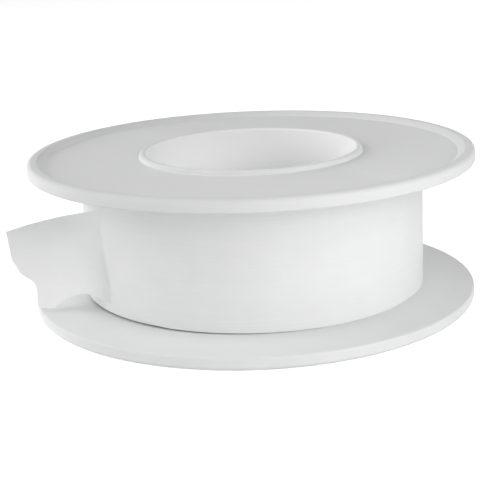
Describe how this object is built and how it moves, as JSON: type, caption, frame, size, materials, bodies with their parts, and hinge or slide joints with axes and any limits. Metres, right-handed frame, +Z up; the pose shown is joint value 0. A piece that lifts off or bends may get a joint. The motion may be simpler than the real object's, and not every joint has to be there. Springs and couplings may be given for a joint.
{
  "type": "thread seal tape roll",
  "caption": "Roll of white thread seal tape on a flanged spool that snaps together at its hub, with the drawn-out free end standing away from the winding.",
  "frame": {"origin": "on the spool's axis, in the plane that the roll lies on", "axes": "+Z up along the spool's axis; the picture looks along +Y, with the free end on the -X side"},
  "size_m": [0.0479, 0.046, 0.0158],
  "materials": {
    "spool_plastic": "satin moulded white plastic",
    "seal_tape": "smooth, slightly waxy white film"
  },
  "bodies": {
    "spool": {"spool_upper_half": "spool_plastic", "spool_lower_half": "spool_plastic", "tape_core": "seal_tape"},
    "outer_turn": {"tape_outer_turn": "seal_tape"},
    "free_end": {"tape_free_end": "seal_tape"}
  },
  "joints": [
    {"name": "unwind", "type": "hinge", "parent": "spool", "child": "outer_turn", "pos_m": [0, 0, 0], "axis": [0, 0, 1], "continuous": true},
    {"name": "free_end_lift", "type": "hinge", "parent": "outer_turn", "child": "free_end", "pos_m": [-0.01423, -0.01055, 0], "axis": [0, 0, 1], "range_deg": [-22, 90]}
  ]
}
